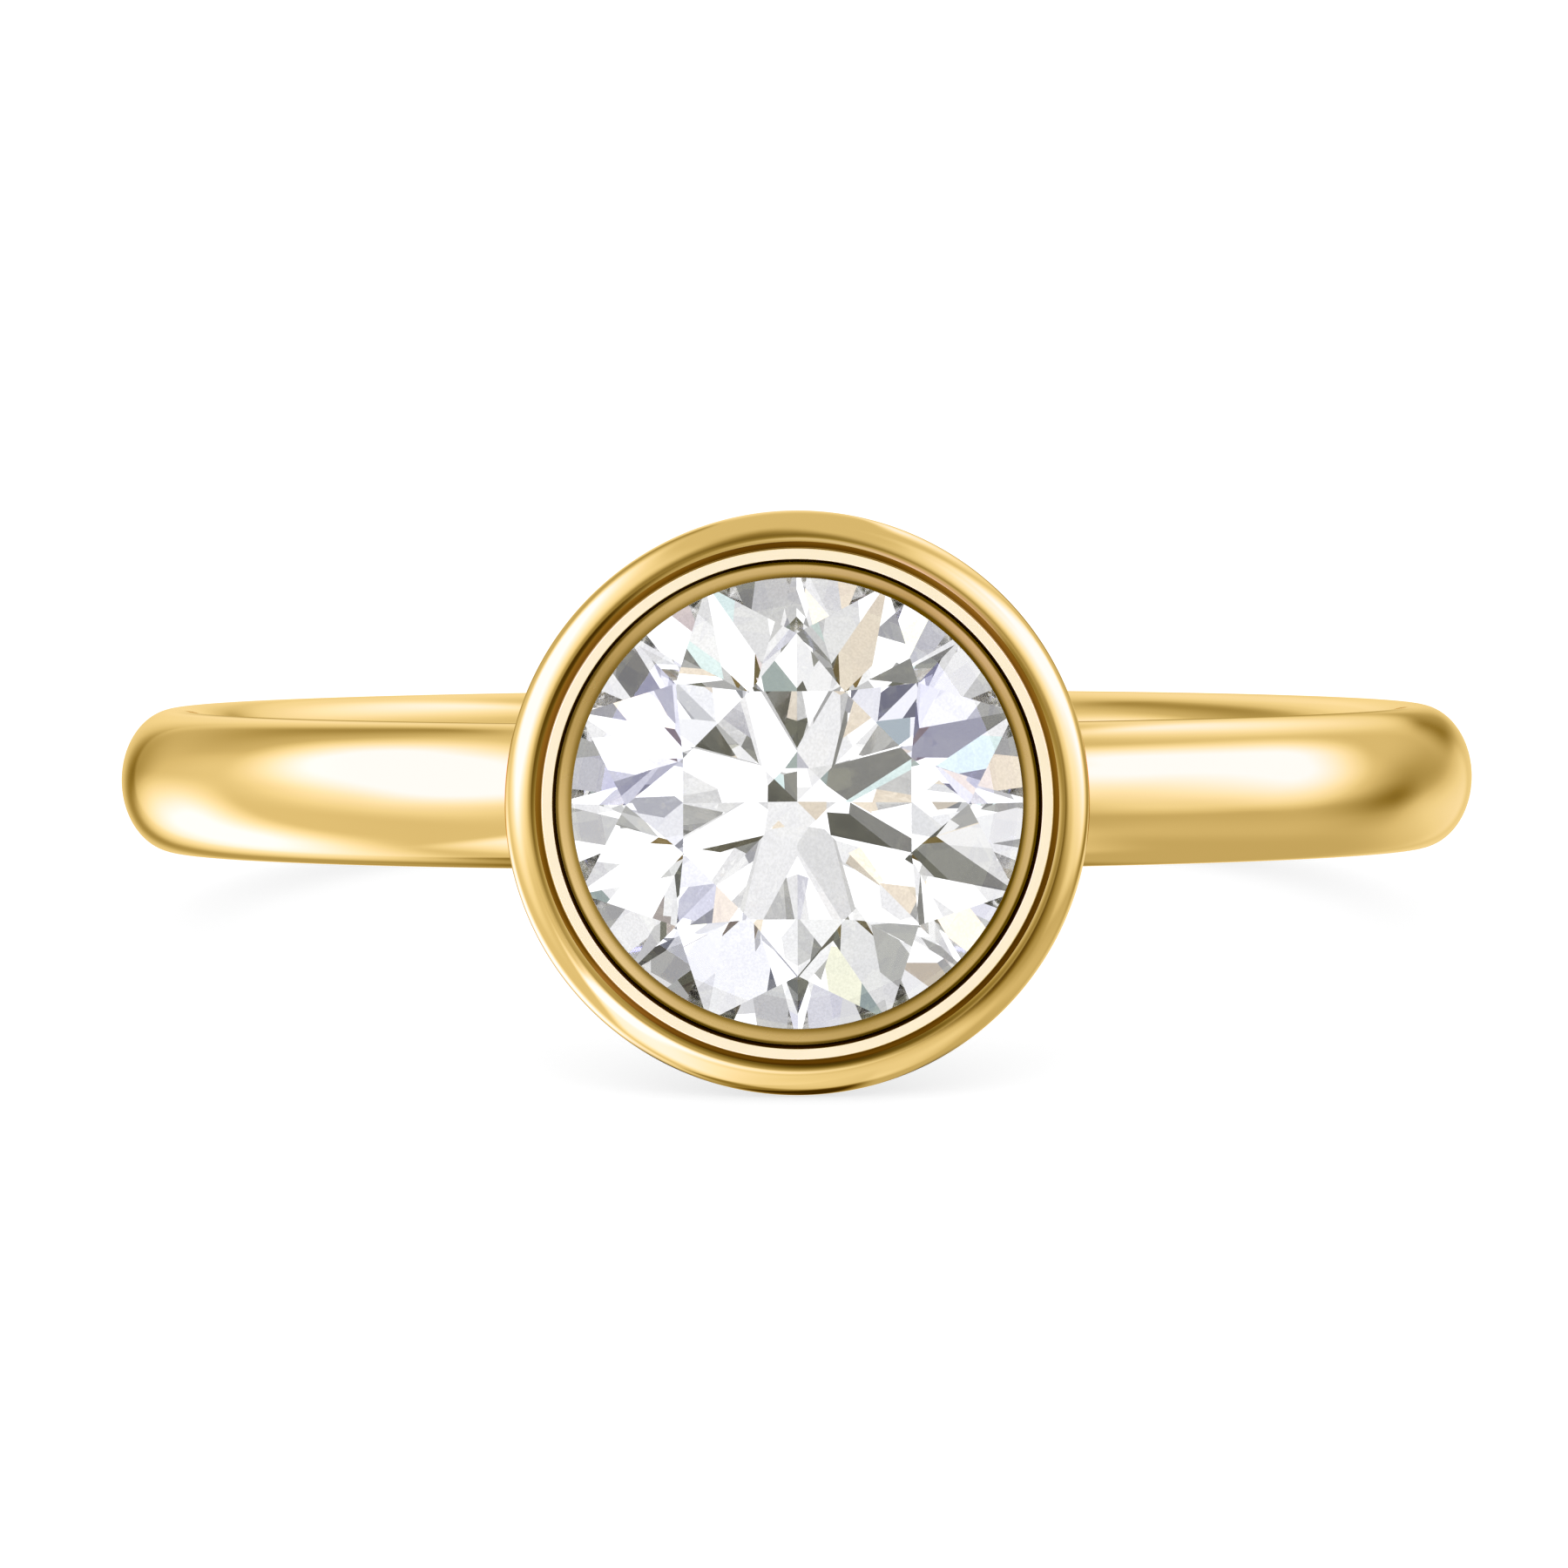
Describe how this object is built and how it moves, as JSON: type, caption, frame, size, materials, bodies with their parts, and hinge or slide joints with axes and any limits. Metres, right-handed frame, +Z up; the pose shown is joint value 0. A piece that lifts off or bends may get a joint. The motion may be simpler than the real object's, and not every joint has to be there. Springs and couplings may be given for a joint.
{
  "type": "solitaire engagement ring",
  "caption": "Finger ring with a plain rounded gold band and one round brilliant cut stone held in a smooth rolled bezel, lying on its side.",
  "frame": {"origin": "middle of the ring's box on the surface that the ring lies on", "axes": "+Z up from that surface; the head with the stone faces -Y and the back of the band lies at +Y; the finger hole's axis lies in the YZ plane, 8.4 degrees from +Z, its upper end leaning towards +Y"},
  "size_m": [0.0204, 0.0236, 0.0084],
  "materials": {
    "gold": "polished yellow gold",
    "diamond": "clear cut stone with flat polished facets"
  },
  "bodies": {
    "root": {"mounting": "gold", "stone": "diamond"}
  },
  "joints": []
}
